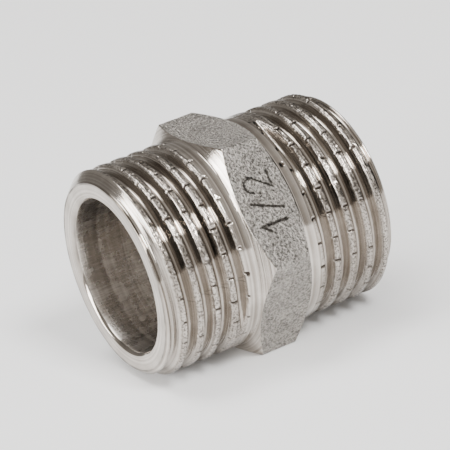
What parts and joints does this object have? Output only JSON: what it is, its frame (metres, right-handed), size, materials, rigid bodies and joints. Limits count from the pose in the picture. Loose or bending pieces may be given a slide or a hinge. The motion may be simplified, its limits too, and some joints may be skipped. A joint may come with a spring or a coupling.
{
  "type": "hex nipple",
  "caption": "Straight one-piece pipe fitting: parallel male threads at both ends, a hexagon for the spanner between them, and a smooth through bore.",
  "frame": {"origin": "middle of the hexagon on the bore's axis, which is also the middle of the part", "axes": "X along the bore; +Z out of a flat of the hexagon; Y across two opposite corners of the hexagon"},
  "size_m": [0.025, 0.0242, 0.021],
  "materials": {
    "nickel_plated_brass": "bright nickel plating over machined brass; the hexagon's flats are shot-blasted and matt"
  },
  "bodies": {
    "root": {"nipple_body": "nickel_plated_brass"}
  },
  "joints": []
}
